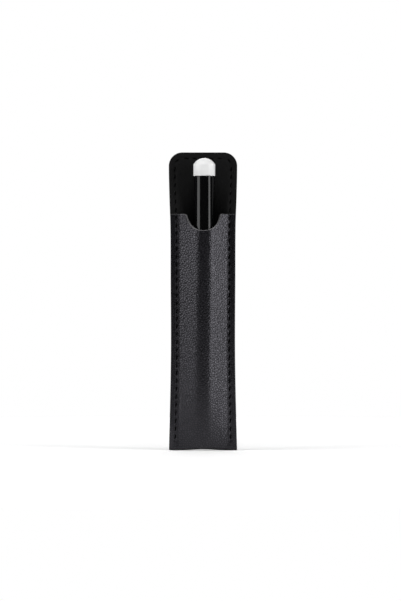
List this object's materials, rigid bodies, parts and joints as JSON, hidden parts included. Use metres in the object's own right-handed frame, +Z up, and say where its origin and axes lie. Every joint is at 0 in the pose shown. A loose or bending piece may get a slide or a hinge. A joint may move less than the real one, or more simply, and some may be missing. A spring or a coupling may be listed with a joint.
{
  "type": "pen sleeve",
  "caption": "Slim black leather pen sleeve, folded at the bottom and sewn up both sides, with a thumb notch, a rounded back tab and a capped pen that slides out.",
  "frame": {"origin": "centre of the sleeve's bottom fold, at the lowest point of the part", "axes": "+Z up the sleeve from the fold to the tab, -Y out of the front with the thumb notch, +X to the right seen from the front"},
  "size_m": [0.0356, 0.0148, 0.155],
  "materials": {
    "leather_black": "satin, fine pebble grain",
    "lining_black": "matt microfibre",
    "thread_black": "waxed polyester thread",
    "pen_black": "glossy moulded plastic",
    "cap_white": "smooth satin plastic",
    "refill_clear": "milky plastic tube",
    "point_steel": "turned metal"
  },
  "bodies": {
    "sleeve": {"outer_leather": "leather_black", "lining": "lining_black", "needle_thread": "thread_black", "bobbin_thread": "thread_black"},
    "pen": {"pen_barrel": "pen_black", "pen_end_cap": "cap_white", "pen_nose": "pen_black", "refill_tube": "refill_clear", "writing_point": "point_steel"}
  },
  "joints": [
    {"name": "pen_slide", "type": "slide", "parent": "sleeve", "child": "pen", "axis": [0, 0, 1], "range_m": [0, 0.12]}
  ]
}
